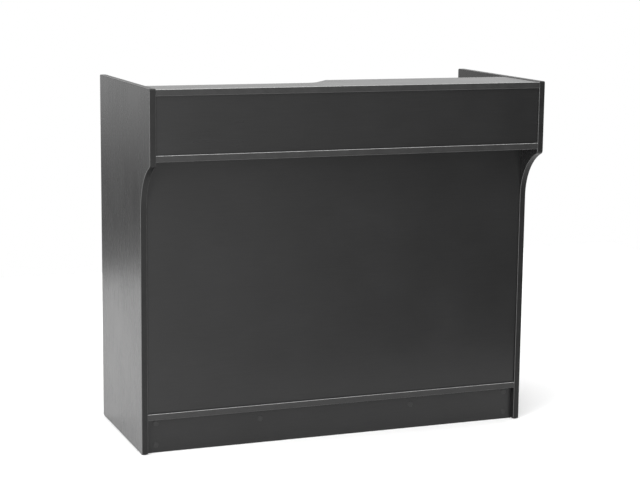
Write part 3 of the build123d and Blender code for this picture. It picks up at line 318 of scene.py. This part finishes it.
def floor():
    """A plain pale floor, a sheet under the object that runs out behind it."""
    mesh = bpy.data.meshes.new("studio_floor")
    (left, front), (right, back) = FLOOR_LOW, FLOOR_HIGH
    corners = [(left, front, 0.0), (right, front, 0.0), (right, back, 0.0), (left, back, 0.0)]
    mesh.from_pydata([Vector(corner) for corner in corners], [], [(0, 1, 2, 3)])
    sheet = bpy.data.objects.new("studio_floor", mesh)
    bpy.context.scene.collection.objects.link(sheet)
    shader = Shader("studio_paper")
    mottle = shader.noise(3.0, 3.0)
    colour = shader.blend(mottle, (FLOOR_TONE,) * 3, (FLOOR_TONE * 1.02,) * 3)
    mesh.materials.append(shader.finish(Base_Color=colour, Roughness=0.9, Specular_IOR_Level=0.1))


def softbox(name, place, target, size, power):
    """A rectangular light that looks at a point."""
    data = bpy.data.lights.new(name, "AREA")
    data.shape = "RECTANGLE"
    data.size, data.size_y = size
    data.energy = power
    lamp = bpy.data.objects.new(name, data)
    lamp.location = place
    aim = Vector(target) - Vector(place)
    lamp.rotation_mode = "QUATERNION"
    lamp.rotation_quaternion = aim.to_track_quat("-Z", "Y")
    bpy.context.scene.collection.objects.link(lamp)


def grey_ramp(tree, value, low, high, tones):
    """A grey that follows a value through (value, tone) pairs; tones may be over 1."""
    place = tree.nodes.new("ShaderNodeMapRange")
    place.inputs["From Min"].default_value = low
    place.inputs["From Max"].default_value = high
    tree.links.new(value, place.inputs["Value"])
    ramp = tree.nodes.new("ShaderNodeValToRGB")
    tree.links.new(place.outputs["Result"], ramp.inputs["Fac"])
    stops = ramp.color_ramp.elements
    while len(stops) < len(tones):
        stops.new(0.5)
    for stop, (at, tone) in zip(stops, tones):
        stop.position = (at - low) / (high - low)
        stop.color = (tone, tone, tone, 1.0)
    return ramp.outputs["Color"]


def world():
    """White where the camera looks at it, and a soft grey room in reflections."""
    sky = bpy.data.worlds.new("studio")
    sky.use_nodes = True
    tree = sky.node_tree
    tree.nodes.clear()
    coords = tree.nodes.new("ShaderNodeTexCoord")
    split = tree.nodes.new("ShaderNodeSeparateXYZ")
    towards = tree.nodes.new("ShaderNodeVectorMath")
    towards.operation = "DOT_PRODUCT"
    towards.inputs[1].default_value = SHADE_SIDE
    behind = tree.nodes.new("ShaderNodeMapRange")
    behind.inputs["From Min"].default_value = -HALVES_BLEND
    behind.inputs["From Max"].default_value = HALVES_BLEND
    halves = tree.nodes.new("ShaderNodeMix")
    halves.data_type = "RGBA"
    room = tree.nodes.new("ShaderNodeBackground")
    backdrop = tree.nodes.new("ShaderNodeBackground")
    seen = tree.nodes.new("ShaderNodeLightPath")
    mix = tree.nodes.new("ShaderNodeMixShader")
    out = tree.nodes.new("ShaderNodeOutputWorld")
    tree.links.new(coords.outputs["Generated"], split.inputs[0])
    tree.links.new(coords.outputs["Generated"], towards.inputs[0])
    back_tone = grey_ramp(tree, split.outputs["Z"], -1.0, 1.0, BACK_TONES)
    front_tone = grey_ramp(tree, towards.outputs["Value"], 0.0, 1.0, FRONT_TONES)
    tree.links.new(split.outputs["Y"], behind.inputs["Value"])
    tree.links.new(behind.outputs["Result"], halves.inputs["Factor"])
    tree.links.new(front_tone, halves.inputs[MIX_FIRST])
    tree.links.new(back_tone, halves.inputs[MIX_SECOND])
    tree.links.new(halves.outputs[MIX_RESULT], room.inputs["Color"])
    backdrop.inputs["Color"].default_value = WHITE
    tree.links.new(seen.outputs["Is Camera Ray"], mix.inputs["Fac"])
    tree.links.new(room.outputs[0], mix.inputs[1])
    tree.links.new(backdrop.outputs[0], mix.inputs[2])
    tree.links.new(mix.outputs[0], out.inputs["Surface"])
    bpy.context.scene.world = sky


floor()
world()
for light in SOFTBOXES:
    softbox(*light)

view = bpy.context.scene.view_settings
view.view_transform = "Standard"
view.look = "None"

# ---- Camera, at the front left and a little above the ledge ----
CAMERA_PLACE = (-1.8484, -4.7684, 1.4460)
YAW = math.radians(21.223)  # turned from +Y towards +X
PITCH = math.radians(9.815)  # looking down
ROLL = math.radians(0.634)
LENS = 95.50


def aim_camera():
    ahead = Vector((math.sin(YAW) * math.cos(PITCH), math.cos(YAW) * math.cos(PITCH), -math.sin(PITCH)))
    level = Vector((math.cos(YAW), -math.sin(YAW), 0.0))
    upward = level.cross(ahead)
    right = math.cos(ROLL) * level + math.sin(ROLL) * upward
    up = math.cos(ROLL) * upward - math.sin(ROLL) * level
    turn = Matrix((right, up, -ahead)).transposed()
    data = bpy.data.cameras.new("camera")
    data.lens = LENS
    camera = bpy.data.objects.new("camera", data)
    camera.matrix_world = Matrix.Translation(CAMERA_PLACE) @ turn.to_4x4()
    bpy.context.scene.collection.objects.link(camera)
    bpy.context.scene.camera = camera


aim_camera()
